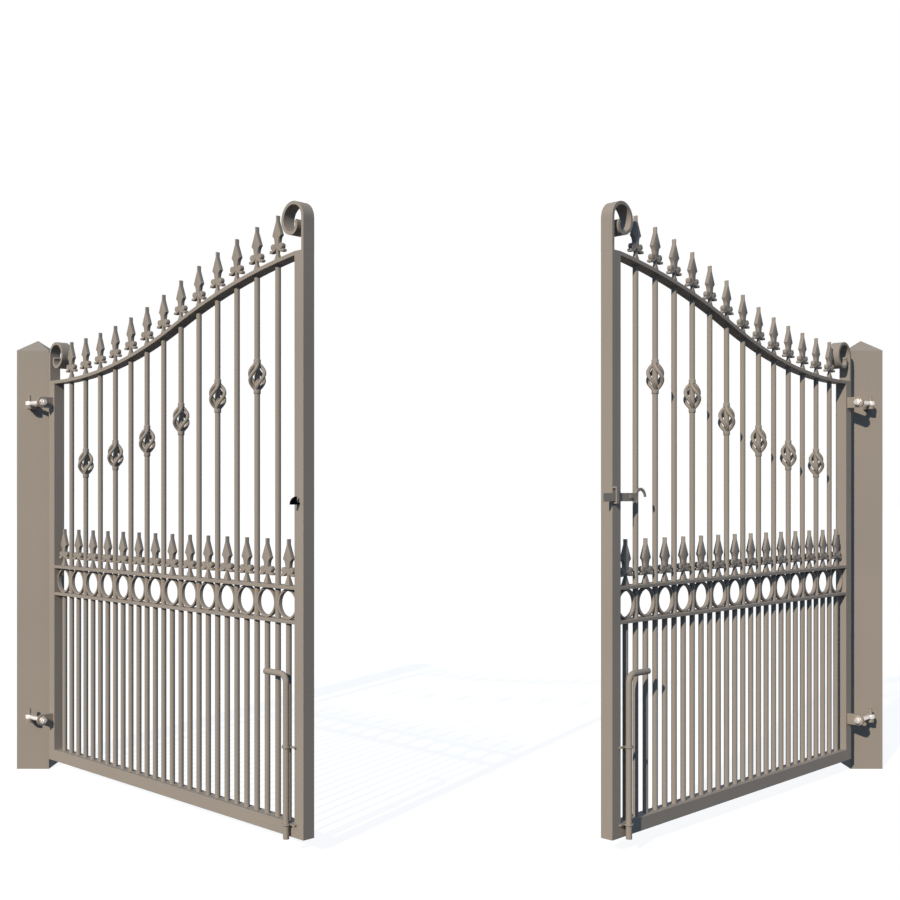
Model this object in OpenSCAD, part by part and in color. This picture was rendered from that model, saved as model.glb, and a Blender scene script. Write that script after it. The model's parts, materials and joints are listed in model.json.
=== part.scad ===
// Pair of swan neck wrought iron driveway gates hung on two square posts
// Lengths are in millimetres. At rest both leaves stand half open
// The origin is at the middle of the left post's foot, Y points away from the drive

/* [Posts] */
// Width of each square post
post_w = 120; // [100:5:150]
// Height of the post shaft below its pyramid top
post_h = 1560; // [1500:10:1800]
// Rise of the pyramid top
cap_h = 42; // [20:2:80]
// Gap between a post and the closed leaf
hinge_gap = 8; // [6:1:30]
// Gap between the two closed leaves
meet_gap = 28; // [22:1:50]

/* [Leaf] */
// Opening angle of the leaves at rest
open_angle = 45; // [0:5:90]
// Distance between neighbouring long bars
bar_pitch = 100; // [90:2:120]
// Diameter of the round bars
bar_d = 17; // [12:1:18]
// Width of the square box stiles
stile_w = 40; // [30:5:50]
// Depth of the flat bars used for the rails and scrolls
flat_w = 40; // [30:5:50]
// Height of the leaf above the ground
leaf_bottom = 50; // [30:5:80]
// Height of the box bottom rail
bottom_rail_h = 40; // [30:5:60]
// Underside of the lower mid rail
mid_rail_z = 656; // [560:2:700]
// Thickness of the mid rails
mid_rail_t = 10; // [8:1:12]
// Clear height between the mid rails, as a share of the bar pitch
ring_ratio = 0.88; // [0.84:0.01:0.88]
// Thickness of the ring bar
ring_t = 6; // [5:0.5:10]
// Depth of the ring bar
ring_depth = 12; // [8:1:20]

/* [Swan neck] */
// Underside of the top rail where it is level
top_rail_z = 1428; // [1408:2:1500]
// Thickness of the top rail
top_rail_t = 12; // [8:1:15]
// Radius of the lower hollow curve, in bar pitches
low_ratio = 21.9; // [20:0.1:26]
// Radius of the upper round curve, in bar pitches
high_ratio = 27.53; // [25:0.01:30]
// Where the two curves meet, in bar pitches from the first dog bar
join_ratio = 7.37; // [7:0.01:7.7]
// Where the lower curve is level, in bar pitches from the first dog bar
level_ratio = -0.1; // [-0.3:0.05:0.1]

/* [Scrolls] */
// Outer radius of the scroll's first turn
scroll_r = 50; // [45:1:60]
// Outer radius of the scroll's second turn
scroll_mid_r = 46; // [40:1:55]
// Outer radius of the scroll's inner curl
scroll_in_r = 26; // [22:1:32]
// Thickness of the scroll bar
scroll_t = 10; // [6:1:12]
// Rise of the hinge scroll's middle above its stile
hinge_scroll_rise = 89; // [70:1:120]
// Rise of the lock scroll's middle above its stile
lock_scroll_rise = 94; // [70:1:120]

/* [Railheads and baskets] */
// Height of a railhead
head_h = 133; // [120:1:150]
// Widest part of the spear
head_w = 40; // [32:1:46]
// Thickness of the spear
head_depth = 12; // [9:0.5:14]
// Thickness of the railhead's lobes and lips
lobe_depth = 15; // [12:0.5:20]
// Distance from the top rail down to a basket's middle
basket_drop = 311; // [280:1:340]
// Length of a basket with its collars
basket_h = 104; // [90:2:130]
// Outer diameter of a basket
basket_d = 62; // [54:1:70]
// Diameter of the basket's rods
basket_rod = 11; // [8:0.5:12]
// Turn of the rods from end to end
basket_turn = 90; // [60:10:180]

/* [Hinges] */
// Distance from a post's face to the hinge pin
pin_out = 40; // [34:1:60]
// Distance from a post's front to the closed leaf's middle
leaf_back = 22; // [18:1:40]
// Diameter of the hinge pin
pin_d = 12; // [10:1:16]
// Outer diameter of the hinge eye
eye_d = 28; // [26:1:34]
// Height of the hinge eye
eye_h = 16; // [14:1:24]
// Height of the upper hinge
upper_hinge_z = 1359; // [1200:5:1380]
// Height of the lower hinge
lower_hinge_z = 203; // [160:5:400]
// Diameter of the eye bolt's shank
shank_d = 12; // [10:1:16]

/* [Locking] */
// Diameter of the drop bolt
bolt_d = 18; // [12:1:20]
// Height of the drop bolt's tip at rest
bolt_tip_z = 46; // [30:2:60]
// Height of the drop bolt's handle
bolt_handle_z = 514; // [440:2:600]
// Length of the handle from the bolt's middle
bolt_handle_l = 96; // [80:2:140]
// Middle height of the latch bar
latch_z = 1018; // [960:2:1080]
// Height of the latch bar
latch_h = 24; // [20:1:26]
// Thickness of the latch bar
latch_t = 4; // [3:0.5:6]

/* [Hidden] */
$fn = 96;
paint = [0.60, 0.55, 0.50];
zinc = [0.86, 0.86, 0.84];
black = [0.04, 0.04, 0.04];
half_pitch = bar_pitch / 2;
long_count = 13;
dog_count = 14;
basket_count = 6;
rail_steps = 64;
ring_gap = ring_ratio * bar_pitch;
// Clearances
slide_fit = 0.4;
bar_fit = 0.2;
touch_fit = 0.05;
bar_end_gap = 1;
over = 1;
latch_fit = 3;
lip_gap = 2;
// Leaf layout along its own length, from the first dog bar
end_gap = half_pitch - bar_d / 2;
hinge_in_s = -end_gap;
hinge_out_s = hinge_in_s - stile_w;
lock_in_s = (2 * dog_count - 1) * half_pitch;
lock_out_s = lock_in_s + stile_w;
leaf_w = lock_out_s - hinge_out_s;
// Hinge layout, from the pin
pin_y = -post_w / 2 - pin_out;
leaf_v = pin_out + leaf_back;
first_u = post_w / 2 + hinge_gap - hinge_out_s;
pin_s = -first_u;
pin_v = -leaf_v;
post_pitch = 2 * (post_w / 2 + hinge_gap + leaf_w) + meet_gap;
front = -stile_w / 2;
// Heights
cap_tip_w = 2;
rail_top_z = leaf_bottom + bottom_rail_h;
upper_rail_z = mid_rail_z + mid_rail_t + ring_gap;
dog_head_z = upper_rail_z + mid_rail_t;
// Swan neck curve
low_r = low_ratio * bar_pitch;
high_r = high_ratio * bar_pitch;
join_s = join_ratio * bar_pitch;
level_s = level_ratio * bar_pitch;
join_a = asin((join_s - level_s) / low_r);
join_z = top_rail_z + low_r * (1 - cos(join_a));
high_s = join_s + high_r * sin(join_a);
high_z = join_z - high_r * cos(join_a);
function rail_over(s) = s < join_s
    ? top_rail_z + low_r - sqrt(pow(low_r - top_rail_t, 2) - pow(s - level_s, 2))
    : high_z + sqrt(pow(high_r + top_rail_t, 2) - pow(s - high_s, 2));
function rail_under(s) = s < join_s
    ? top_rail_z + low_r - sqrt(pow(low_r, 2) - pow(s - level_s, 2))
    : high_z + sqrt(pow(high_r, 2) - pow(s - high_s, 2));
function rail_at(j) = hinge_in_s + (lock_in_s - hinge_in_s) * j / rail_steps;
function long_s(k) = (2 * k + 1) * half_pitch;
function dog_s(k) = 2 * k * half_pitch;
function basket_s(k) = long_s(2 * k + 1);
function basket_z(k) = rail_over(basket_s(k)) - basket_drop;
function long_top(k) = rail_over(long_s(k) - bar_d / 2) - bar_end_gap;
hinge_top = rail_over(hinge_in_s);
lock_top = rail_over(lock_in_s);
// Where the scroll's inner curl ends
scroll_end_a = 400;
// Railhead form
foot_w = head_w * 0.35;
foot_h = 2;
neck_w = head_w * 0.22;
neck_lo = 24;
neck_hi = 34;
waist_w = head_w * 0.58;
waist_lo = 48;
waist_hi = 55;
belly_z = head_h * 0.585;
tip_w = head_w * 0.24;
tip_z = head_h * 0.88;
head_sink = top_rail_t / 2;
lip_s = half_pitch - bar_d / 2 - lip_gap;
lip_t = 8;
lip_r = lip_s * 0.65;
lip_end_a = -75;
lip_root_a = -138;
lip_free_a = -105;
lip_mid = [lip_s - lip_t / 2 - lip_r * cos(lip_end_a), 29.5 + lip_r];
lip_end = lip_mid + lip_r * [cos(lip_end_a), sin(lip_end_a)];
lobe_mid = [lip_s * 0.49, 45];
lobe_r = 9.3;
lobe_a0 = 130;
lobe_a1 = -80;
// Basket form
collar_t = 2.5;
collar_d = bar_d + 2 * collar_t;
rod_share = 0.77;
rod_len = basket_h * rod_share;
collar_h = (basket_h - rod_len) / 2;
rod_sides = 6;
rod_steps = 10;
rod_root = 0.06;
rod_bulge = 0.9;
rod_slope_step = 0.03;
rod_in_r = (collar_d - basket_rod) / 2;
rod_out_r = (basket_d - basket_rod) / 2;
// Hinge tab on the stile
tab_t = 8;
tab_r = 19.5;
tab_inset = 8;
tab_s1 = hinge_in_s - tab_inset;
tab_s0 = tab_s1 - tab_t;
nut_w = shank_d * 1.75;
nut_t = shank_d * 0.75;
thread_end = 7;
shank_end = tab_s1 + nut_t + thread_end;
seat_h = 12;
seat_inset = 1.5;
seat_w = eye_d - 2 * seat_inset;
pin_rise = 22;
// Drop bolt and its guides
bolt_inset = 20;
bolt_stand = 14;
bolt_s = lock_in_s - bolt_inset;
bolt_v = front - bolt_stand;
bend_r = 24;
guide_t = 5;
guide_mid_z = 305;
guide_low_z = rail_top_z - guide_t;
guide_wall = 4;
guide_back = 8;
guide_ear = 16;
guide_lap = 10;
guide_s0 = bolt_s - bolt_d / 2 - guide_ear;
guide_s1 = lock_in_s + guide_lap;
// Latch, its pivot, strap and keep
latch_v1 = front - latch_fit;
latch_v0 = latch_v1 - latch_t;
latch_lo = latch_z - latch_h / 2;
latch_hi = latch_z + latch_h / 2;
keep_w = 6.5;
keep_edge = 15;
keep_s = lock_out_s - keep_edge - keep_w;
keep_r = 23;
keep_back = latch_v0 - latch_fit;
keep_floor_h = 6;
keep_lo = latch_lo - latch_fit - keep_floor_h;
latch_past = 1.5;
latch_end = lock_out_s + meet_gap + keep_edge + keep_w + latch_past;
pivot_inset = 37;
pivot_s = lock_in_s - pivot_inset;
pivot_d = 8;
pivot_head_d = 11;
pivot_head_t = 3;
pivot_plate_t = 6;
pivot_plate_h = 18;
pivot_plate_end = 12;
latch_lead = 31;
latch_start = pivot_s - latch_lead;
tail_r = 27;
tail_t = 9;
tail_lap = 6;
strap_t = 4;
strap_w = 12;
strap_edge = 1.5;
strap_s = lock_out_s - strap_edge - strap_w;
strap_below = 6;
strap_above = 18;
strap_lo = latch_lo - strap_below;
strap_hi = latch_hi + strap_above;
strap_v = latch_v0 - latch_fit;

// Places a leaf drawn along its own plane, front towards -Y, into the left half of the gate
module on_left() {
    translate([0, pin_y, 0])
        rotate([0, 0, -open_angle])
            translate([first_u, leaf_v, 0])
                children();
}

module on_right() {
    translate([post_pitch, 0, 0])
        mirror([1, 0, 0])
            on_left()
                children();
}

// A flat bar bent to an arc in the leaf's plane
module arc_bar(s, z, r_out, t, depth, a0, a1) {
    translate([s, 0, z])
        rotate([90, 0, 0])
            rotate([0, 0, a0])
                rotate_extrude(angle = a1 - a0)
                    translate([r_out - t, -depth / 2])
                        square([t, depth]);
}

// A stack of rectangles joined by flat tapers, each level is height, width and depth
module taper_stack(levels) {
    count = len(levels);
    corners = [for (l = levels) each [
        [-l[1] / 2, -l[2] / 2, l[0]], [l[1] / 2, -l[2] / 2, l[0]],
        [l[1] / 2, l[2] / 2, l[0]], [-l[1] / 2, l[2] / 2, l[0]]]];
    sides = [for (i = [0 : count - 2]) for (k = [0 : 3])
        [4 * i + k, 4 * (i + 1) + k, 4 * (i + 1) + (k + 1) % 4, 4 * i + (k + 1) % 4]];
    polyhedron(points = corners, faces = concat([[0, 1, 2, 3]], sides,
        [[for (k = [3 : -1 : 0]) 4 * (count - 1) + k]]));
}

// Posts

module post() {
    translate([-post_w / 2, -post_w / 2, 0])
        cube([post_w, post_w, post_h]);
    translate([0, 0, post_h])
        taper_stack([[0, post_w, post_w], [cap_h, cap_tip_w, cap_tip_w]]);
}

module left_post() {
    color(paint) post();
}

module right_post() {
    color(paint) translate([post_pitch, 0, 0]) post();
}

module hook(z) {
    seat_top = z - eye_h / 2 - slide_fit;
    translate([0, pin_y, seat_top - seat_h])
        cylinder(d = seat_w, h = seat_h);
    translate([-seat_w / 2, pin_y, seat_top - seat_h])
        cube([seat_w, pin_out, seat_h]);
    translate([0, pin_y, seat_top - seat_h])
        cylinder(d = pin_d, h = seat_h + eye_h + pin_rise);
}

module hooks() {
    hook(upper_hinge_z);
    hook(lower_hinge_z);
}

module left_hooks() {
    color(paint) hooks();
}

module right_hooks() {
    color(paint) translate([post_pitch, 0, 0]) mirror([1, 0, 0]) hooks();
}

// Leaf frame

module hinge_stile() {
    translate([hinge_out_s, front, leaf_bottom])
        cube([stile_w, stile_w, hinge_top - leaf_bottom]);
}

module lock_stile() {
    translate([lock_in_s, front, leaf_bottom])
        cube([stile_w, stile_w, lock_top - leaf_bottom]);
}

// Scroll that starts at its outer face and curls towards -s
module scroll(rise) {
    translate([-scroll_t, -flat_w / 2, 0])
        cube([scroll_t, flat_w, rise]);
    arc_bar(-scroll_r, rise, scroll_r, scroll_t, flat_w, 0, 180);
    arc_bar(-2 * scroll_r + scroll_mid_r, rise, scroll_mid_r, scroll_t, flat_w, 180, 270);
    arc_bar(-2 * scroll_r + scroll_mid_r, rise - scroll_mid_r + scroll_in_r,
        scroll_in_r, scroll_t, flat_w, 270, scroll_end_a);
}

module scrolls() {
    translate([lock_out_s, 0, lock_top])
        scroll(lock_scroll_rise);
    translate([hinge_out_s, 0, hinge_top])
        mirror([1, 0, 0])
            scroll(hinge_scroll_rise);
}

module rail_body(grow) {
    translate([0, flat_w / 2, 0])
        rotate([90, 0, 0])
            linear_extrude(flat_w)
                polygon(concat(
                    [for (j = [0 : rail_steps]) [rail_at(j), rail_over(rail_at(j)) + grow]],
                    [for (j = [rail_steps : -1 : 0]) [rail_at(j), rail_under(rail_at(j)) - grow]]));
}

module top_rail() {
    difference() {
        rail_body(0);
        for (k = [0 : long_count - 1])
            translate([long_s(k), 0, rail_over(long_s(k)) - 3 * top_rail_t])
                cylinder(d = bar_d + 2 * bar_fit, h = 6 * top_rail_t);
    }
}

module mid_rail(z) {
    difference() {
        translate([hinge_in_s, -flat_w / 2, z])
            cube([lock_in_s - hinge_in_s, flat_w, mid_rail_t]);
        for (k = [0 : long_count - 1])
            translate([long_s(k), 0, z - over])
                cylinder(d = bar_d + 2 * bar_fit, h = mid_rail_t + 2 * over);
    }
}

module mid_rails() {
    mid_rail(mid_rail_z);
    mid_rail(upper_rail_z);
}

module bottom_rail() {
    translate([hinge_in_s, front, leaf_bottom])
        cube([lock_in_s - hinge_in_s, stile_w, bottom_rail_h]);
}

// Infill

module long_bars() {
    for (k = [0 : long_count - 1])
        translate([long_s(k), 0, rail_top_z])
            cylinder(d = bar_d, h = long_top(k) - rail_top_z);
}

module dog_bars() {
    for (k = [0 : dog_count - 1])
        translate([dog_s(k), 0, rail_top_z])
            cylinder(d = bar_d, h = mid_rail_z - rail_top_z);
}

module ring(k) {
    ring_r = ring_gap / 2 - touch_fit;
    middle = mid_rail_z + mid_rail_t + ring_gap / 2;
    difference() {
        translate([dog_s(k), ring_depth / 2, middle])
            rotate([90, 0, 0])
                cylinder(r = ring_r, h = ring_depth);
        translate([dog_s(k), ring_depth, middle])
            rotate([90, 0, 0])
                cylinder(r = ring_r - ring_t, h = 2 * ring_depth);
        for (j = [k - 1, k])
            if (j >= 0 && j < long_count)
                translate([long_s(j), 0, middle - ring_r])
                    cylinder(d = bar_d + 2 * touch_fit, h = 2 * ring_r);
    }
}

// The end rings are ground flat where they meet the stiles
module rings() {
    intersection() {
        for (k = [0 : dog_count - 1])
            ring(k);
        translate([hinge_in_s + touch_fit, -ring_depth, mid_rail_z])
            cube([lock_in_s - hinge_in_s - 2 * touch_fit, 2 * ring_depth, upper_rail_z - mid_rail_z]);
    }
}

function arc_points(mid, r, a0, a1, steps) =
    [for (i = [0 : steps]) let (a = a0 + (a1 - a0) * i / steps) mid + r * [cos(a), sin(a)]];

// One half of the railhead's collar: a round lobe over a lip that curls outwards to a round end
module collar_half() {
    polygon(concat([[-over, neck_hi], [-over, waist_lo], [lobe_mid[0] / 2, waist_lo]],
        arc_points(lobe_mid, lobe_r, lobe_a0, lobe_a1, 6),
        arc_points(lip_mid, lip_r - lip_t / 2, lip_free_a, lip_end_a, 1),
        arc_points(lip_end, lip_t / 2, lip_end_a + 135, lip_end_a + 45, 2),
        arc_points(lip_mid, lip_r + lip_t / 2, lip_end_a, lip_root_a, 3),
        [[neck_w / 2, neck_hi]]));
}

// Cast spear railhead, flat in the leaf's plane
module railhead(sink) {
    taper_stack([[-sink, foot_w, foot_w], [foot_h, foot_w, foot_w], [neck_lo, neck_w, neck_w],
        [neck_hi, neck_w, neck_w], [waist_lo, waist_w, head_depth], [waist_hi, waist_w, head_depth],
        [belly_z, head_w, head_depth], [tip_z, tip_w, tip_w], [head_h, tip_w, tip_w]]);
    translate([0, lobe_depth / 2, 0])
        rotate([90, 0, 0])
            linear_extrude(lobe_depth)
                for (side = [0, 1])
                    mirror([side, 0])
                        collar_half();
}

module top_heads() {
    difference() {
        for (k = [0 : long_count - 1])
            translate([long_s(k), 0, rail_over(long_s(k))])
                railhead(head_sink);
        rail_body(touch_fit);
    }
}

module dog_heads() {
    for (k = [0 : dog_count - 1])
        translate([dog_s(k), 0, dog_head_z])
            railhead(0);
}

// Middle line of a basket's rod, which turns round the bar as it bulges, and runs straight in the collars
function within(f) = max(0, min(1, f));
function rod_mid(f, turn0) = let (g = within(f), a = turn0 + basket_turn * g,
    r = rod_in_r + (rod_out_r - rod_in_r) * pow(max(0, sin(180 * g)), rod_bulge))
    [r * cos(a), r * sin(a), rod_len * (f - 0.5)];
function unit(v) = v / norm(v);

// One bent rod of a basket, a round section swept along its middle line
module basket_rod_body(turn0) {
    stations = concat([-rod_root], [for (i = [0 : rod_steps]) i / rod_steps], [1 + rod_root]);
    ends = len(stations) - 1;
    points = [for (f = stations)
        let (along = unit(rod_mid(f + rod_slope_step, turn0) - rod_mid(f - rod_slope_step, turn0)),
            a = turn0 + basket_turn * within(f),
            aside = unit(cross(along, [cos(a), sin(a), 0])), out = cross(aside, along))
        for (k = [0 : rod_sides - 1])
            let (b = 360 * k / rod_sides)
            rod_mid(f, turn0) + basket_rod / 2 * (cos(b) * out + sin(b) * aside)];
    walls = [for (i = [0 : ends - 1]) for (k = [0 : rod_sides - 1])
        let (p = rod_sides * i + k, q = rod_sides * i + (k + 1) % rod_sides)
        each [[p, p + rod_sides, q + rod_sides], [p, q + rod_sides, q]]];
    polyhedron(points = points, faces = concat([[for (k = [0 : rod_sides - 1]) k]], walls,
        [[for (k = [rod_sides - 1 : -1 : 0]) rod_sides * ends + k]]));
}

// Four rods bent round the long bar between two collars
module basket() {
    difference() {
        union() {
            for (k = [0 : 3])
                basket_rod_body(90 * k - basket_turn / 2);
            translate([0, 0, rod_len / 2])
                cylinder(d = collar_d, h = collar_h);
            translate([0, 0, -rod_len / 2 - collar_h])
                cylinder(d = collar_d, h = collar_h);
        }
        translate([0, 0, -basket_h])
            cylinder(d = bar_d + 2 * touch_fit, h = 2 * basket_h);
    }
}

module baskets() {
    for (k = [0 : basket_count - 1])
        translate([basket_s(k), 0, basket_z(k)])
            basket();
}

// Hinge pieces on the leaf

module tab(z) {
    difference() {
        union() {
            translate([tab_s0, pin_v, z - tab_r])
                cube([tab_t, front - pin_v, 2 * tab_r]);
            translate([tab_s0, pin_v, z])
                rotate([0, 90, 0])
                    cylinder(r = tab_r, h = tab_t);
        }
        translate([tab_s0 - over, pin_v, z])
            rotate([0, 90, 0])
                cylinder(d = shank_d + 2 * bar_fit, h = tab_t + 2 * over);
    }
}

module tabs() {
    tab(upper_hinge_z);
    tab(lower_hinge_z);
}

module eye_bolt(z) {
    difference() {
        union() {
            translate([pin_s, pin_v, z - eye_h / 2])
                cylinder(d = eye_d, h = eye_h);
            translate([pin_s, pin_v, z])
                rotate([0, 90, 0])
                    cylinder(d = shank_d, h = shank_end - pin_s);
            translate([tab_s1, pin_v, z])
                rotate([0, 90, 0])
                    cylinder(d = nut_w / cos(30), h = nut_t, $fn = 6);
            translate([tab_s0 - nut_t, pin_v, z])
                rotate([0, 90, 0])
                    cylinder(d = nut_w / cos(30), h = nut_t, $fn = 6);
        }
        translate([pin_s, pin_v, z - eye_h])
            cylinder(d = pin_d + 2 * slide_fit, h = 2 * eye_h);
    }
}

module eye_bolts() {
    eye_bolt(upper_hinge_z);
    eye_bolt(lower_hinge_z);
}

// Locking pieces

// Guide plate: a flat strip on the stile with a round eye for the bolt
module guide(z) {
    difference() {
        union() {
            translate([guide_s0, front - guide_back, z])
                cube([guide_s1 - guide_s0, guide_back, guide_t]);
            translate([bolt_s, bolt_v, z])
                cylinder(d = bolt_d + 2 * guide_wall, h = guide_t);
        }
        translate([bolt_s, bolt_v, z - over])
            cylinder(d = bolt_d + 2 * slide_fit, h = guide_t + 2 * over);
    }
}

module guides() {
    guide(guide_mid_z);
    guide(guide_low_z);
}

module drop_bolt() {
    translate([bolt_s, bolt_v, bolt_tip_z])
        cylinder(d = bolt_d, h = bolt_handle_z - bend_r - bolt_tip_z);
    translate([bolt_s - bend_r, bolt_v, bolt_handle_z - bend_r])
        rotate([90, 0, 0])
            rotate_extrude(angle = 90)
                translate([bend_r, 0])
                    circle(d = bolt_d);
    translate([bolt_s - bend_r, bolt_v, bolt_handle_z])
        rotate([0, -90, 0])
            cylinder(d = bolt_d, h = bolt_handle_l - bend_r);
}

module keep() {
    translate([keep_s, keep_back, keep_lo])
        cube([keep_w, front - keep_back, keep_floor_h]);
    translate([keep_s, keep_back, keep_lo])
        rotate([90, 0, 90])
            rotate([0, 0, 90])
                linear_extrude(keep_w)
                    intersection() {
                        circle(r = keep_r);
                        square(keep_r);
                    }
}

module strap() {
    difference() {
        translate([strap_s, strap_v - strap_t, strap_lo])
            cube([strap_w, front - strap_v + strap_t, strap_hi - strap_lo]);
        translate([strap_s - over, strap_v, strap_lo + strap_t])
            cube([strap_w + 2 * over, front - strap_v + over, strap_hi - strap_lo - 2 * strap_t]);
    }
}

module pivot_plate() {
    translate([pivot_s - pivot_plate_end, front, latch_z - pivot_plate_h / 2])
        cube([lock_in_s - pivot_s + pivot_plate_end, pivot_plate_t, pivot_plate_h]);
    translate([pivot_s, front, latch_z])
        rotate([90, 0, 0])
            cylinder(d = pivot_d, h = latch_fit + latch_t + slide_fit + pivot_head_t);
    translate([pivot_s, latch_v0 - slide_fit, latch_z])
        rotate([90, 0, 0])
            cylinder(d = pivot_head_d, h = pivot_head_t);
}

module latch_mount() {
    strap();
    pivot_plate();
}

module latch() {
    difference() {
        union() {
            translate([latch_start, latch_v0, latch_lo])
                cube([latch_end - latch_start, latch_t, latch_h]);
            translate([0, latch_v0 + latch_t / 2, 0])
                arc_bar(latch_start + tail_lap - tail_r, latch_z, tail_r, tail_t, latch_t, 0, 180);
        }
        translate([pivot_s, latch_v1 + over, latch_z])
            rotate([90, 0, 0])
                cylinder(d = pivot_d + 2 * slide_fit, h = latch_t + 2 * over);
    }
}

// Left leaf

module left_hinge_stile() { color(paint) on_left() hinge_stile(); }
module left_lock_stile() { color(paint) on_left() lock_stile(); }
module left_scrolls() { color(paint) on_left() scrolls(); }
module left_top_rail() { color(paint) on_left() top_rail(); }
module left_mid_rails() { color(paint) on_left() mid_rails(); }
module left_bottom_rail() { color(paint) on_left() bottom_rail(); }
module left_long_bars() { color(paint) on_left() long_bars(); }
module left_dog_bars() { color(paint) on_left() dog_bars(); }
module left_rings() { color(paint) on_left() rings(); }
module left_top_heads() { color(paint) on_left() top_heads(); }
module left_dog_heads() { color(paint) on_left() dog_heads(); }
module left_baskets() { color(paint) on_left() baskets(); }
module left_tabs() { color(paint) on_left() tabs(); }
module left_eye_bolts() { color(zinc) on_left() eye_bolts(); }
module left_guides() { color(paint) on_left() guides(); }
module left_keep() { color(black) on_left() keep(); }
module left_drop_bolt() { color(paint) on_left() drop_bolt(); }

// Right leaf

module right_hinge_stile() { color(paint) on_right() hinge_stile(); }
module right_lock_stile() { color(paint) on_right() lock_stile(); }
module right_scrolls() { color(paint) on_right() scrolls(); }
module right_top_rail() { color(paint) on_right() top_rail(); }
module right_mid_rails() { color(paint) on_right() mid_rails(); }
module right_bottom_rail() { color(paint) on_right() bottom_rail(); }
module right_long_bars() { color(paint) on_right() long_bars(); }
module right_dog_bars() { color(paint) on_right() dog_bars(); }
module right_rings() { color(paint) on_right() rings(); }
module right_top_heads() { color(paint) on_right() top_heads(); }
module right_dog_heads() { color(paint) on_right() dog_heads(); }
module right_baskets() { color(paint) on_right() baskets(); }
module right_tabs() { color(paint) on_right() tabs(); }
module right_eye_bolts() { color(zinc) on_right() eye_bolts(); }
module right_guides() { color(paint) on_right() guides(); }
module right_latch_mount() { color(paint) on_right() latch_mount(); }
module right_drop_bolt() { color(paint) on_right() drop_bolt(); }
module latch_bar() { color(paint) on_right() latch(); }

left_post();
right_post();
left_hooks();
right_hooks();
left_hinge_stile();
left_lock_stile();
left_scrolls();
left_top_rail();
left_mid_rails();
left_bottom_rail();
left_long_bars();
left_dog_bars();
left_rings();
left_top_heads();
left_dog_heads();
left_baskets();
left_tabs();
left_eye_bolts();
left_guides();
left_keep();
right_hinge_stile();
right_lock_stile();
right_scrolls();
right_top_rail();
right_mid_rails();
right_bottom_rail();
right_long_bars();
right_dog_bars();
right_rings();
right_top_heads();
right_dog_heads();
right_baskets();
right_tabs();
right_eye_bolts();
right_guides();
right_latch_mount();
left_drop_bolt();
right_drop_bolt();
latch_bar();
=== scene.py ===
import json
import math

import bmesh
import bpy
from mathutils import Matrix, Vector


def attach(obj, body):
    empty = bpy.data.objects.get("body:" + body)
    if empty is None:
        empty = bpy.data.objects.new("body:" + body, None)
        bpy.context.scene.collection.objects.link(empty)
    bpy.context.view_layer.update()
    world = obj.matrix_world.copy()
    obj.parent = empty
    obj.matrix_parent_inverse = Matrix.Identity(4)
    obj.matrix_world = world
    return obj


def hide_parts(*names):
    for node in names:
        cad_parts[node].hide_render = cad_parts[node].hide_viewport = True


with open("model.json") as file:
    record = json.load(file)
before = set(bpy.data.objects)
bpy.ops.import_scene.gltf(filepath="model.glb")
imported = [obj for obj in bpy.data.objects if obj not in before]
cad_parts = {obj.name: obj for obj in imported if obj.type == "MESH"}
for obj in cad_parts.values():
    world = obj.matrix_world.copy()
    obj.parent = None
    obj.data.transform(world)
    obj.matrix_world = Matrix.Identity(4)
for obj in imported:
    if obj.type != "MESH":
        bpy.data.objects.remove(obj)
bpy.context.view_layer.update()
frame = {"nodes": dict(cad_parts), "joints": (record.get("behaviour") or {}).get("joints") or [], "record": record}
nodes = frame["nodes"]
joints = {joint["name"]: joint for joint in frame["joints"]}
scene = bpy.context.scene
sides = ("left", "right")
print("gate frame loaded with", len(nodes), "nodes")


# Leaf space: X along the leaf from the hinge pin, Y through it with the front at -Y, Z up

def leafMatrix(side):
    hinge = joints[side + "_leaf_hinge"]
    opened = math.radians(-hinge["range_deg"][0])  # how far the leaf stands open at rest
    pin = Vector((hinge["pos_m"][0], hinge["pos_m"][1], 0))
    flip = Matrix.Scale(-1 if side == "right" else 1, 4, (1, 0, 0))
    return Matrix.Translation(pin) @ flip @ Matrix.Rotation(-opened, 4, "Z")


def leafPoints(node, side):
    toLeaf = leafMatrix(side).inverted()
    return [toLeaf @ vertex.co for vertex in nodes[node].data.vertices]


def boxOf(points):
    low = Vector([min(point[axis] for point in points) for axis in range(3)])
    high = Vector([max(point[axis] for point in points) for axis in range(3)])
    return low, high


def leafBox(node, side):
    return boxOf(leafPoints(node, side))


# Material helpers

def addNode(tree, kind, inputs=None, **settings):
    made = tree.nodes.new(kind)
    for name, value in settings.items():
        setattr(made, name, value)
    for name, value in (inputs or {}).items():
        made.inputs[name].default_value = value
    return made


def newMaterial(name):
    material = bpy.data.materials.new(name)
    material.use_nodes = True
    material.node_tree.nodes.clear()
    return material, material.node_tree


def noiseOf(tree, place, scale, detail):
    noise = addNode(tree, "ShaderNodeTexNoise", {"Scale": scale, "Detail": detail})
    tree.links.new(place.outputs["Object"], noise.inputs["Vector"])
    return noise


def rampOf(tree, source, stops):
    ramp = addNode(tree, "ShaderNodeValToRGB")
    while len(ramp.color_ramp.elements) < len(stops):
        ramp.color_ramp.elements.new(0.5)
    for element, (position, colour) in zip(ramp.color_ramp.elements, stops):
        element.position = position
        element.color = (*colour, 1)
    tree.links.new(source, ramp.inputs["Fac"])
    return ramp.outputs["Color"]


def spread(tree, source, low, high):
    fit = addNode(tree, "ShaderNodeMapRange", {"To Min": low, "To Max": high})
    tree.links.new(source, fit.inputs["Value"])
    return fit.outputs["Result"]


def tinted(colour, amount):
    return tuple(channel * amount for channel in colour)


# Clouds of tone, a wavy grain and a fine orange peel, shared by the four finishes

coatLook = {"cloudDetail": 3, "cloudFrom": 0.3, "cloudTo": 0.7, "grainDetail": 2, "waveDepth": 0.001,
            "peelDetail": 1.5, "peelDepth": 0.0004}


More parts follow.
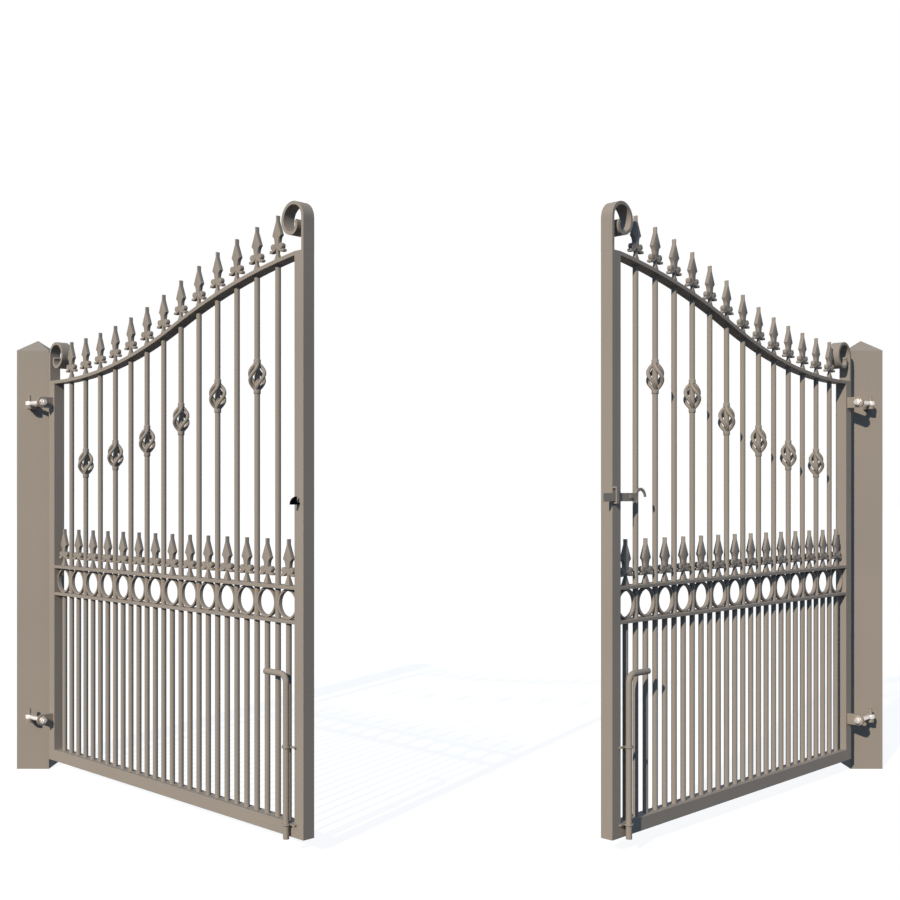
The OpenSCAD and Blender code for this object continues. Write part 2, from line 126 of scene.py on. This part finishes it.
def coatedMetal(name, look):
    material, tree = newMaterial(name)
    place = addNode(tree, "ShaderNodeTexCoord")
    shader = addNode(tree, "ShaderNodeBsdfPrincipled", {
        "Metallic": look["metallic"], "Specular IOR Level": look["gloss"]})
    cloud = noiseOf(tree, place, look["cloudScale"], coatLook["cloudDetail"])
    grain = noiseOf(tree, place, look["grainScale"], coatLook["grainDetail"])
    peel = noiseOf(tree, place, look["peelScale"], coatLook["peelDetail"])
    stops = [(coatLook["cloudFrom"], tinted(look["colour"], 1 - look["cloud"])),
             (coatLook["cloudTo"], tinted(look["colour"], 1 + look["cloud"]))]
    tree.links.new(rampOf(tree, cloud.outputs["Fac"], stops), shader.inputs["Base Color"])
    rough = spread(tree, grain.outputs["Fac"], look["rough"][0], look["rough"][1])
    tree.links.new(rough, shader.inputs["Roughness"])
    ripple = addNode(tree, "ShaderNodeBump", {"Strength": look["wave"], "Distance": coatLook["waveDepth"]})
    tree.links.new(grain.outputs["Fac"], ripple.inputs["Height"])
    skin = addNode(tree, "ShaderNodeBump", {"Strength": look["peel"], "Distance": coatLook["peelDepth"]})
    tree.links.new(peel.outputs["Fac"], skin.inputs["Height"])
    tree.links.new(ripple.outputs["Normal"], skin.inputs["Normal"])
    tree.links.new(skin.outputs["Normal"], shader.inputs["Normal"])
    ending = addNode(tree, "ShaderNodeOutputMaterial")
    tree.links.new(shader.outputs["BSDF"], ending.inputs["Surface"])
    return material


paintLook = {"colour": (0.352, 0.296, 0.246), "metallic": 0.0, "gloss": 0.04, "rough": (0.5, 0.64),
             "cloudScale": 2.5, "cloud": 0.03, "grainScale": 60.0, "wave": 0.05,
             "peelScale": 700.0, "peel": 0.12}
castLook = {"colour": (0.345, 0.291, 0.243), "metallic": 0.0, "gloss": 0.04, "rough": (0.55, 0.7),
            "cloudScale": 18.0, "cloud": 0.05, "grainScale": 160.0, "wave": 0.12,
            "peelScale": 500.0, "peel": 0.25}
zincLook = {"colour": (0.80, 0.74, 0.70), "metallic": 0.8, "gloss": 0.4, "rough": (0.42, 0.56),
            "cloudScale": 40.0, "cloud": 0.06, "grainScale": 220.0, "wave": 0.06,
            "peelScale": 900.0, "peel": 0.05}
blackLook = {"colour": (0.0012, 0.0012, 0.0012), "metallic": 0.0, "gloss": 0.02, "rough": (0.5, 0.65),
             "cloudScale": 30.0, "cloud": 0.15, "grainScale": 150.0, "wave": 0.08,
             "peelScale": 800.0, "peel": 0.2}
finishes = {
    "paint": coatedMetal("taupe_paint", paintLook),
    "cast": coatedMetal("taupe_casting", castLook),
    "zinc": coatedMetal("bright_zinc", zincLook),
    "black": coatedMetal("black_steel", blackLook),
}
print("finishes made:", ", ".join(finishes))


# CAD pieces that stay, with their edges eased and their finish

easing = {"post": 0.0008, "stile": 0.0005, "bottom_rail": 0.001, "mid_rails": 0.001, "top_rail": 0.001,
          "scrolls": 0.0004, "tabs": 0.001, "hooks": 0.0012, "guides": 0.0008, "drop_bolt": 0.0025,
          "latch_mount": 0.0006, "latch_bar": 0.0008, "keep": 0.0008}
edgeLook = {"weld": 0.00001, "steps": 3, "angle": math.radians(40)}


def easeEdges(piece, width):
    weld = piece.modifiers.new("seams", "WELD")
    weld.merge_threshold = edgeLook["weld"]
    bevel = piece.modifiers.new("edges", "BEVEL")
    bevel.width = width
    bevel.segments = edgeLook["steps"]
    bevel.limit_method = "ANGLE"
    bevel.angle_limit = edgeLook["angle"]
    bevel.use_clamp_overlap = True
    normals = piece.modifiers.new("normals", "WEIGHTED_NORMAL")
    normals.keep_sharp = True


slotOf = {row["node"]: row["material_slot"] for row in frame["record"]["subparts"]}
for name, piece in nodes.items():
    piece.data.materials.clear()
    piece.data.materials.append(finishes[slotOf[name]])
    for ending, width in easing.items():
        if name.endswith(ending):
            easeEdges(piece, width)
print("CAD pieces finished")


# Mesh helpers for the finer pieces, which are drawn in leaf space

def addPiece(name, shape, side, body, slot, standsFor):
    bmesh.ops.transform(shape, matrix=leafMatrix(side), verts=shape.verts)
    bmesh.ops.recalc_face_normals(shape, faces=shape.faces)
    mesh = bpy.data.meshes.new(name)
    shape.to_mesh(mesh)
    shape.free()
    mesh.shade_smooth()
    mesh.set_sharp_from_angle(angle=edgeLook["angle"])
    mesh.materials.append(finishes[slot])
    piece = bpy.data.objects.new(name, mesh)
    scene.collection.objects.link(piece)
    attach(piece, body)
    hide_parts(standsFor)


def repeated(shape, places):
    mesh = bpy.data.meshes.new("pattern")
    shape.to_mesh(mesh)
    shape.free()
    many = bmesh.new()
    for place in places:
        start = len(many.verts)
        many.from_mesh(mesh)
        many.verts.ensure_lookup_table()
        bmesh.ops.translate(many, vec=place, verts=many.verts[start:])
    bpy.data.meshes.remove(mesh)
    return many


def clumps(points, gap=0.015):
    ordered = sorted(points, key=lambda point: point.x)
    groups = [[ordered[0]]]
    for last, point in zip(ordered, ordered[1:]):
        if point.x - last.x > gap:
            groups.append([])
        groups[-1].append(point)
    return [boxOf(group) for group in groups]


def ringEdges(ring):
    edges = []
    for vert in ring:
        edges += [edge for edge in vert.link_edges if edge not in edges]
    return edges


def sweepTube(shape, centres, outs, radius, corners):
    rings = []
    last = len(centres) - 1
    for place, (centre, out) in enumerate(zip(centres, outs)):
        along = (centres[min(place + 1, last)] - centres[max(place - 1, 0)]).normalized()
        aside = along.cross(out).normalized()
        facing = aside.cross(along)
        turn = Matrix((facing, aside, along)).transposed().to_4x4()
        ring = bmesh.ops.create_circle(shape, segments=corners, radius=radius, cap_ends=place in (0, last),
                                       matrix=Matrix.Translation(centre) @ turn)
        rings.append(ringEdges(ring["verts"]))
    for first, second in zip(rings, rings[1:]):
        bmesh.ops.bridge_loops(shape, edges=first + second)


def turnProfile(shape, profile, middle, axis, steps, closed=False):
    verts = [shape.verts.new(point) for point in profile]
    edges = [shape.edges.new(pair) for pair in zip(verts, verts[1:])]
    if closed:
        edges.append(shape.edges.new((verts[-1], verts[0])))
    bmesh.ops.spin(shape, geom=verts + edges, cent=middle, axis=axis, angle=math.tau, steps=steps,
                   use_merge=True)


# Railheads: a flat cast spear over two round lobes and two lips, on a flared foot

headLook = {
    "height": 0.133,
    "levels": ((0.002, 0.0210, 0.0150), (0.023, 0.0084, 0.0084), (0.0335, 0.0092, 0.0110),
               (0.0440, 0.0180, 0.0128), (0.0580, 0.0188, 0.0128), (0.0675, 0.0240, 0.0128),
               (0.0755, 0.0400, 0.0128), (0.117, 0.0048, 0.0128), (0.133, 0.0046, 0.0126)),
    "sink": 0.006, "edge": 0.0005, "cornerAngle": 0.6, "cornerSteps": 2,
    "lobe": (0.0182, 0.0425), "lobeRadius": 0.0092, "lobeSides": 24,
    "lipMiddle": (0.0252, 0.0545), "lipBend": 0.0255, "lipFrom": -152, "lipTo": -75, "lipThick": 0.0084,
    "lipSteps": 8, "collarDepth": 0.0145, "collarEdge": 0.0016,
}


def stackLevels(shape, levels):
    height, width, depth = levels[0]
    first = bmesh.ops.create_grid(shape, x_segments=1, y_segments=1, size=0.5)
    bmesh.ops.scale(shape, vec=(width, depth, 1), verts=first["verts"])
    bmesh.ops.translate(shape, vec=(0, 0, height), verts=first["verts"])
    face = first["verts"][0].link_faces[0]
    for level, (height, width, depth) in zip(levels, levels[1:]):
        grown = bmesh.ops.extrude_face_region(shape, geom=[face, *face.edges, *face.verts])
        verts = [item for item in grown["geom"] if isinstance(item, bmesh.types.BMVert)]
        face = [item for item in grown["geom"] if isinstance(item, bmesh.types.BMFace)][0]
        bmesh.ops.scale(shape, vec=(width / level[1], depth / level[2], 1), verts=verts)
        bmesh.ops.translate(shape, vec=(0, 0, height - level[0]), verts=verts)


def softenCorners(shape, offset):
    bmesh.ops.recalc_face_normals(shape, faces=shape.faces)
    corners = [edge for edge in shape.edges
               if len(edge.link_faces) == 2 and edge.calc_face_angle() > headLook["cornerAngle"]]
    bmesh.ops.bevel(shape, geom=corners, offset=offset, affect="EDGES", segments=headLook["cornerSteps"],
                    profile=0.5, material=-1)


def addLobe(shape, hand):
    across, height = headLook["lobe"]
    place = Matrix.Translation((hand * across, 0, height)) @ Matrix.Rotation(math.pi / 2, 4, "X")
    radius = headLook["lobeRadius"]
    bmesh.ops.create_cone(shape, cap_ends=True, segments=headLook["lobeSides"], radius1=radius,
                          radius2=radius, depth=headLook["collarDepth"], matrix=place)


def addLip(shape, hand):
    across, height = headLook["lipMiddle"]
    middle = Vector((hand * across, 0, height))
    start = math.radians(headLook["lipFrom"])
    swing = math.radians(headLook["lipTo"]) - start
    root = middle + headLook["lipBend"] * Vector((hand * math.cos(start), 0, math.sin(start)))
    lie = Matrix.Translation(root) @ Matrix.Rotation(-hand * start, 4, "Y")
    size = Matrix.Diagonal((headLook["lipThick"], headLook["collarDepth"], 1, 1))
    end = bmesh.ops.create_grid(shape, x_segments=1, y_segments=1, size=0.5, matrix=lie @ size)
    face = end["verts"][0].link_faces[0]
    bmesh.ops.spin(shape, geom=[face, *face.edges, *face.verts], cent=middle, axis=(0, -hand, 0), angle=swing,
                   steps=headLook["lipSteps"])


def makeHead(sink):
    shape = bmesh.new()
    foot = headLook["levels"][0]
    stackLevels(shape, ((-sink, foot[1], foot[2]), *headLook["levels"]))
    softenCorners(shape, headLook["edge"])
    collar = bmesh.new()
    for hand in (-1, 1):
        addLobe(collar, hand)
        addLip(collar, hand)
    softenCorners(collar, headLook["collarEdge"])
    mesh = bpy.data.meshes.new("collar")
    collar.to_mesh(mesh)
    collar.free()
    shape.from_mesh(mesh)
    bpy.data.meshes.remove(mesh)
    return shape


for side in sides:
    for rail, sink in (("top", headLook["sink"]), ("dog", 0.0)):
        node = side + "_" + rail + "_heads"
        spots = [Vector(((low.x + high.x) / 2, (low.y + high.y) / 2, high.z - headLook["height"]))
                 for low, high in clumps(leafPoints(node, side))]
        addPiece(side + "_" + rail + "_castings", repeated(makeHead(sink), spots), side, side + "_leaf",
                 "cast", node)
print("railheads made")


# Baskets: four rods that turn round the long bar as they bulge, between two collars

basketLook = {"rod": 0.0055, "rodSides": 14, "steps": 44, "turn": math.radians(110), "lead": math.radians(10),
              "bulge": 0.95, "outer": 0.0317, "root": 0.06, "bore": 0.0084, "collar": 0.0107,
              "collarHeight": 0.0145, "collarRound": 0.0022, "collarLap": 0.001, "collarSides": 28}


def rodMiddle(share, start, length):
    inside = min(max(share, 0), 1)
    turn = start + basketLook["turn"] * inside
    low = basketLook["collar"] - basketLook["rod"]
    swell = math.sin(math.pi * inside) ** basketLook["bulge"] if 0 < inside < 1 else 0
    radius = low + (basketLook["outer"] - basketLook["rod"] - low) * swell
    return Vector((radius * math.cos(turn), radius * math.sin(turn), length * (share - 0.5)))


def makeBasket(height):
    shape = bmesh.new()
    length = height - 2 * basketLook["collarHeight"]
    steps = basketLook["steps"]
    shares = [-basketLook["root"], *[(1 - math.cos(math.pi * step / steps)) / 2 for step in range(steps + 1)],
              1 + basketLook["root"]]
    for rod in range(4):
        start = (rod * math.pi - basketLook["turn"]) / 2 + basketLook["lead"]
        centres = [rodMiddle(share, start, length) for share in shares]
        outs = [Vector((centre.x, centre.y, 0)).normalized() for centre in centres]
        sweepTube(shape, centres, outs, basketLook["rod"], basketLook["rodSides"])
    radius, bore, soft = basketLook["collar"], basketLook["bore"], basketLook["collarRound"]
    for hand in (-1, 1):
        inner = hand * (length / 2 - basketLook["collarLap"])
        outer = hand * height / 2
        profile = [(bore, 0, inner), (radius - soft, 0, inner), (radius, 0, inner + hand * soft),
                   (radius, 0, outer - hand * soft), (radius - soft / 3, 0, outer - hand * soft / 3),
                   (radius - soft, 0, outer), (bore, 0, outer)]
        turnProfile(shape, profile, (0, 0, 0), (0, 0, 1), basketLook["collarSides"])
    return shape


for side in sides:
    node = side + "_baskets"
    found = clumps(leafPoints(node, side))
    spots = [(low + high) / 2 for low, high in found]
    basket = makeBasket(found[0][1].z - found[0][0].z)
    addPiece(side + "_twisted_baskets", repeated(basket, spots), side, side + "_leaf", "paint", node)
print("baskets made")


# Eye bolts: a rounded eye on the pin, a neck, a threaded shank through the tab, washers and chamfered nuts

eyeLook = {"bore": 0.0064, "height": 0.016, "round": 0.003, "eyeSides": 48, "eyeLap": 0.003, "neck": 0.0076,
           "neckTaper": 0.004, "shank": 0.006, "shankSides": 28, "thread": 0.0006, "pitch": 0.00175,
           "tipTaper": 0.001, "tipDrop": 0.0016, "nut": 0.021, "nutThick": 0.0125, "chamfer": 0.0014,
           "washer": 0.0122, "washerThick": 0.0015, "washerSides": 32, "weld": 0.00001}


def roundedRing(inner, outer, half, soft):
    corners = ((outer - soft, half - soft, 0), (inner + soft, half - soft, 90),
               (inner + soft, soft - half, 180), (outer - soft, soft - half, 270))
    return [(across + soft * math.cos(math.radians(start + turn)), 0,
             up + soft * math.sin(math.radians(start + turn)))
            for across, up, start in corners for turn in (0, 30, 60, 90)]


def addNut(shape, start):
    thick = eyeLook["nutThick"]
    turn = Matrix.Translation((start + thick / 2, 0, 0)) @ Matrix.Rotation(math.pi / 2, 4, "Y")
    radius = eyeLook["nut"] / 2 / math.cos(math.pi / 6)
    nut = bmesh.ops.create_cone(shape, cap_ends=True, segments=6, radius1=radius, radius2=radius, depth=thick,
                                matrix=turn)
    faces = [face for face in shape.faces if face.verts[0] in nut["verts"] and len(face.verts) == 6]
    rims = [edge for face in faces for edge in face.edges]
    bmesh.ops.bevel(shape, geom=rims, offset=eyeLook["chamfer"], affect="EDGES", segments=2, profile=0.5,
                    material=-1)


def addWasher(shape, start):
    profile = [(start, 0, eyeLook["shank"]), (start, 0, eyeLook["washer"]),
               (start + eyeLook["washerThick"], 0, eyeLook["washer"]),
               (start + eyeLook["washerThick"], 0, eyeLook["shank"])]
    turnProfile(shape, profile, (0, 0, 0), (1, 0, 0), eyeLook["washerSides"], closed=True)


def makeEyeBolt(eye, tabStart, tabEnd, tip):
    shape = bmesh.new()
    ring = roundedRing(eyeLook["bore"], eye, eyeLook["height"] / 2, eyeLook["round"])
    turnProfile(shape, ring, (0, 0, 0), (0, 0, 1), eyeLook["eyeSides"], closed=True)
    radius, groove, pitch, neck = (eyeLook[name] for name in ("shank", "thread", "pitch", "neck"))
    start = eye - eyeLook["eyeLap"]
    plain = tabStart - 2 * eyeLook["nutThick"]
    turns = int((tip - plain) / pitch) - 1
    profile = [(start, 0, 0), (start, 0, neck), (plain - eyeLook["neckTaper"], 0, neck), (plain, 0, radius)]
    for turn in range(turns):
        profile.append((plain + (turn + 0.5) * pitch, 0, radius - groove))
        profile.append((plain + (turn + 1) * pitch, 0, radius))
    profile.append((tip - eyeLook["tipTaper"], 0, radius - groove))
    profile += [(tip, 0, radius - eyeLook["tipDrop"]), (tip, 0, 0)]
    turnProfile(shape, profile, (0, 0, 0), (1, 0, 0), eyeLook["shankSides"])
    thick = eyeLook["nutThick"]
    disc = eyeLook["washerThick"]
    addWasher(shape, tabEnd)
    addNut(shape, tabEnd + disc)
    addWasher(shape, tabStart - disc)
    addNut(shape, tabStart - disc - thick)
    bmesh.ops.remove_doubles(shape, verts=shape.verts, dist=eyeLook["weld"])
    return shape


for side in sides:
    node = side + "_eye_bolts"
    low, high = leafBox(node, side)
    tabLow, tabHigh = leafBox(side + "_tabs", side)
    nutHigh = eyeLook["nut"] / 2 / math.cos(math.pi / 6)
    spots = [Vector((0, 0, low.z + nutHigh)), Vector((0, 0, high.z - nutHigh))]
    bolt = makeEyeBolt(-low.x, tabLow.x, tabHigh.x, high.x)
    addPiece(side + "_hinge_bolts", repeated(bolt, spots), side, side + "_leaf", "zinc", node)
print("eye bolts made")


# Camera, light and floor

cameraLook = {"place": (1.4596, -4.558, 1.034), "lens": 48.27, "shift": (0.0283, 0.0461), "far": 200}
sunLook = {"from": (-0.55, -1.0, 0.59), "away": 5, "strength": 3.23, "spread": 1.0,
           "colour": (1.0, 0.938, 0.825)}
skyLook = {"colour": (0.165, 0.283, 0.455), "backdrop": 1.0}
floorLook = {"size": 120.0, "pale": 0.95, "lift": 1.13, "shadow": 0.2, "bounce": 0.1}


def seenRay(tree):
    path = addNode(tree, "ShaderNodeLightPath")
    mirrored = addNode(tree, "ShaderNodeMath", operation="MAXIMUM")
    tree.links.new(path.outputs["Is Glossy Ray"], mirrored.inputs[0])
    tree.links.new(path.outputs["Is Transmission Ray"], mirrored.inputs[1])
    seen = addNode(tree, "ShaderNodeMath", operation="MAXIMUM")
    tree.links.new(path.outputs["Is Camera Ray"], seen.inputs[0])
    tree.links.new(mirrored.outputs[0], seen.inputs[1])
    return seen.outputs[0]


def mixShaders(tree, share, first, second):
    mix = addNode(tree, "ShaderNodeMixShader")
    if isinstance(share, float):
        mix.inputs["Fac"].default_value = share
    else:
        tree.links.new(share, mix.inputs["Fac"])
    tree.links.new(first, mix.inputs[1])
    tree.links.new(second, mix.inputs[2])
    return mix.outputs[0]


def makeCamera():
    lens = bpy.data.cameras.new("camera")
    lens.lens = cameraLook["lens"]
    lens.shift_x, lens.shift_y = cameraLook["shift"]
    lens.clip_end = cameraLook["far"]
    camera = bpy.data.objects.new("camera", lens)
    camera.location = cameraLook["place"]
    camera.rotation_euler = (math.radians(90), 0, 0)
    scene.collection.objects.link(camera)
    scene.camera = camera


def makeSun():
    lamp = bpy.data.lights.new("key_light", "SUN")
    lamp.energy = sunLook["strength"]
    lamp.angle = math.radians(sunLook["spread"])
    lamp.color = sunLook["colour"]
    sun = bpy.data.objects.new("key_light", lamp)
    sun.rotation_mode = "QUATERNION"
    sun.rotation_quaternion = (-Vector(sunLook["from"])).to_track_quat("-Z", "Y")
    sun.location = Vector(sunLook["from"]) * sunLook["away"]
    scene.collection.objects.link(sun)


def makeSky():
    scene.world = bpy.data.worlds.new("studio")
    scene.world.use_nodes = True
    tree = scene.world.node_tree
    tree.nodes.clear()
    fill = addNode(tree, "ShaderNodeBackground", {"Color": (*skyLook["colour"], 1)})
    plain = addNode(tree, "ShaderNodeBackground", {"Strength": skyLook["backdrop"]})
    plain.inputs["Color"].default_value = (1, 1, 1, 1)
    ending = addNode(tree, "ShaderNodeOutputWorld")
    sky = mixShaders(tree, seenRay(tree), fill.outputs[0], plain.outputs[0])
    tree.links.new(sky, ending.inputs["Surface"])


def makeFloor():
    material, tree = newMaterial("pale_floor")
    bounce = floorLook["bounce"]
    dull = addNode(tree, "ShaderNodeBsdfDiffuse", {"Color": (bounce, bounce, bounce, 1)})
    pale = addNode(tree, "ShaderNodeBsdfDiffuse", {"Color": (*[floorLook["pale"]] * 3, 1)})
    glow = addNode(tree, "ShaderNodeEmission", {"Strength": floorLook["lift"]})
    shown = mixShaders(tree, floorLook["shadow"], glow.outputs[0], pale.outputs[0])
    ending = addNode(tree, "ShaderNodeOutputMaterial")
    tree.links.new(mixShaders(tree, seenRay(tree), dull.outputs[0], shown), ending.inputs["Surface"])
    shape = bmesh.new()
    bmesh.ops.create_grid(shape, x_segments=1, y_segments=1, size=floorLook["size"] / 2)
    mesh = bpy.data.meshes.new("floor")
    shape.to_mesh(mesh)
    shape.free()
    mesh.materials.append(material)
    floor = bpy.data.objects.new("floor", mesh)
    scene.collection.objects.link(floor)


makeCamera()
makeSun()
makeSky()
makeFloor()
scene.view_settings.view_transform = "Standard"
print("camera, light and floor set")
